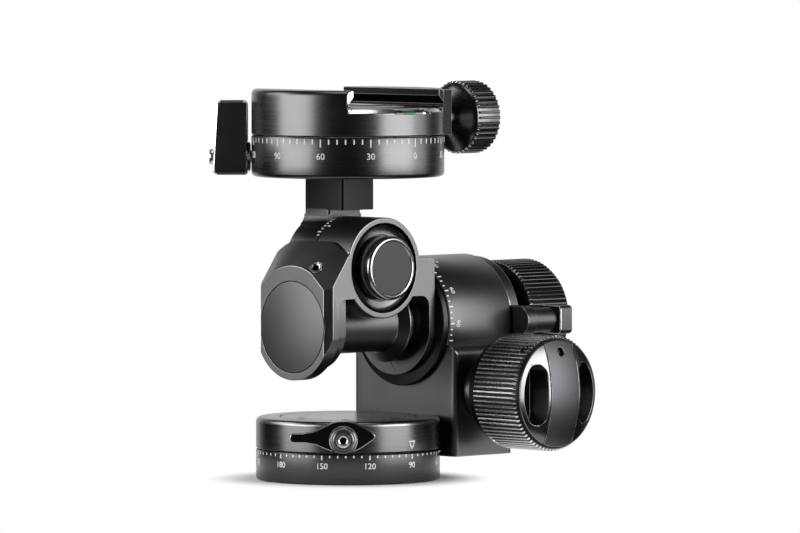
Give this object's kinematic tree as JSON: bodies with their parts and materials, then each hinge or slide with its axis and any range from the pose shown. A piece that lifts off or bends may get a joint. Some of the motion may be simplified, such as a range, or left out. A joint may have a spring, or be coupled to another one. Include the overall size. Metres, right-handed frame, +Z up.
{
  "type": "geared tripod head",
  "caption": "Compact two-axis geared tripod head with panning base, roll drum, pitching yoke, upper panning ring and dovetail quick-release clamp.",
  "frame": {"origin": "centre of the base's underside, on the panning axis, where the tripod screw enters", "axes": "+Z up along the panning axis, +X along the pitch axis towards the big knob, +Y along the roll axis towards the rear knob"},
  "size_m": [0.0964, 0.1266, 0.1289],
  "materials": {
    "black_anodised": "black anodised, satin, fine turned grain",
    "grey_anodised": "dark grey anodised, satin",
    "knob_black": "black anodised, semi-gloss, ribbed",
    "steel": "stainless, machined",
    "brass": "machined",
    "black_steel": "blackened steel, satin",
    "washer_plastic": "matte sliding washer",
    "level_fluid": "green fluid in a clear tube"
  },
  "bodies": {
    "base": {"base_ring": "black_anodised", "pan_spindle": "black_steel", "tripod_bush": "steel", "pan_nut": "steel", "pan_washer": "washer_plastic"},
    "frame": {"bracket": "black_anodised", "pan_top_cover": "black_anodised", "pan_lock_shoe": "brass", "roll_bush_front": "brass", "roll_bush_rear": "brass", "roll_worm_seat": "brass", "roll_worm_bush": "black_steel"},
    "pan_lever": {"pan_lever": "black_anodised", "pan_lever_stud": "steel", "pan_lever_washer": "black_steel", "pan_lever_screw": "steel"},
    "roll_head": {"tilt_housing": "black_anodised", "front_cover": "grey_anodised", "housing_screw": "steel", "pitch_bearing_cover": "knob_black", "roll_shaft": "black_anodised", "roll_wheel": "brass", "roll_rear_collar": "black_anodised", "pitch_worm_bush": "brass", "pitch_shaft_bush": "brass"},
    "roll_drive": {"roll_worm": "steel", "roll_knob": "knob_black"},
    "roll_release": {"roll_knob_cap": "black_anodised", "roll_knob_bar": "black_anodised"},
    "lock_lever": {"lock_collar": "black_anodised", "lock_rod": "black_anodised", "lock_rod_cap": "black_anodised"},
    "pitch_drive": {"pitch_worm": "steel", "pitch_knob": "knob_black"},
    "pitch_release": {"pitch_knob_cap": "black_anodised", "pitch_knob_bar": "black_anodised"},
    "pitch_head": {"yoke": "black_anodised", "pitch_axle": "steel", "pitch_wheel": "brass", "pitch_boss": "grey_anodised", "pitch_axle_nut": "black_anodised", "top_ring": "black_anodised", "post_screw": "black_steel", "top_retainer": "black_steel", "top_washer": "washer_plastic", "top_lock_shoe": "brass"},
    "top_lever": {"top_lever": "black_anodised", "top_lever_stud": "steel", "top_lever_screw": "steel"},
    "clamp": {"top_spindle": "steel", "clamp_body": "black_anodised", "level_cradle": "black_anodised", "level_vial": "level_fluid"},
    "jaw": {"clamp_jaw": "black_anodised", "jaw_pin_1": "steel", "jaw_pin_2": "steel"},
    "jaw_drive": {"clamp_knob": "knob_black", "clamp_screw": "steel"}
  },
  "joints": [
    {"name": "pan", "type": "hinge", "parent": "base", "child": "frame", "pos_m": [0, 0, 0.0101], "axis": [0, 0, 1], "continuous": true},
    {"name": "pan_lock", "type": "hinge", "parent": "frame", "child": "pan_lever", "pos_m": [0, 0, 0.0149], "axis": [0.6947, -0.7193, 0], "range_deg": [-30, 30]},
    {"name": "roll", "type": "hinge", "parent": "frame", "child": "roll_head", "pos_m": [0, 0, 0.0504], "axis": [0, 1, 0], "range_deg": [-90, 30]},
    {"name": "roll_knob_turn", "type": "hinge", "parent": "frame", "child": "roll_drive", "pos_m": [0.04, 0.0387, 0.0287], "axis": [1, 0, 0], "range_deg": [-4060, 1360]},
    {"name": "roll_release_twist", "type": "hinge", "parent": "roll_drive", "child": "roll_release", "pos_m": [0.05, 0.0387, 0.0287], "axis": [1, 0, 0], "range_deg": [0, 35]},
    {"name": "roll_lock", "type": "hinge", "parent": "frame", "child": "lock_lever", "pos_m": [0, 0.057, 0.0504], "axis": [0, 1, 0], "range_deg": [-20, 40]},
    {"name": "pitch", "type": "hinge", "parent": "roll_head", "child": "pitch_head", "pos_m": [0, 0, 0.0693], "axis": [1, 0, 0], "range_deg": [-25, 30]},
    {"name": "pitch_knob_turn", "type": "hinge", "parent": "roll_head", "child": "pitch_drive", "pos_m": [0, 0.07, 0.0504], "axis": [0, 1, 0], "range_deg": [-1085, 905]},
    {"name": "pitch_release_twist", "type": "hinge", "parent": "pitch_drive", "child": "pitch_release", "pos_m": [0, 0.08, 0.0504], "axis": [0, 1, 0], "range_deg": [0, 35]},
    {"name": "top_lock", "type": "hinge", "parent": "pitch_head", "child": "top_lever", "pos_m": [0, 0, 0.105], "axis": [-0.7071, -0.7071, 0], "range_deg": [-30, 30]},
    {"name": "top_pan", "type": "hinge", "parent": "pitch_head", "child": "clamp", "pos_m": [0, 0, 0.1122], "axis": [0, 0, 1], "range_deg": [-165, 75]},
    {"name": "jaw_slide", "type": "slide", "parent": "clamp", "child": "jaw", "axis": [0, 1, 0], "range_m": [0, 0.006]},
    {"name": "clamp_knob_turn", "type": "hinge", "parent": "jaw", "child": "jaw_drive", "pos_m": [0, 0.05, 0.1169], "axis": [0, 1, 0], "range_deg": [0, 2165]}
  ],
  "couplings": [
    {"joint": "roll_knob_turn", "follows": "roll", "ratio": 45},
    {"joint": "pitch_knob_turn", "follows": "pitch", "ratio": -36},
    {"joint": "clamp_knob_turn", "follows": "jaw_slide", "rad_per_m": 6283.2}
  ]
}
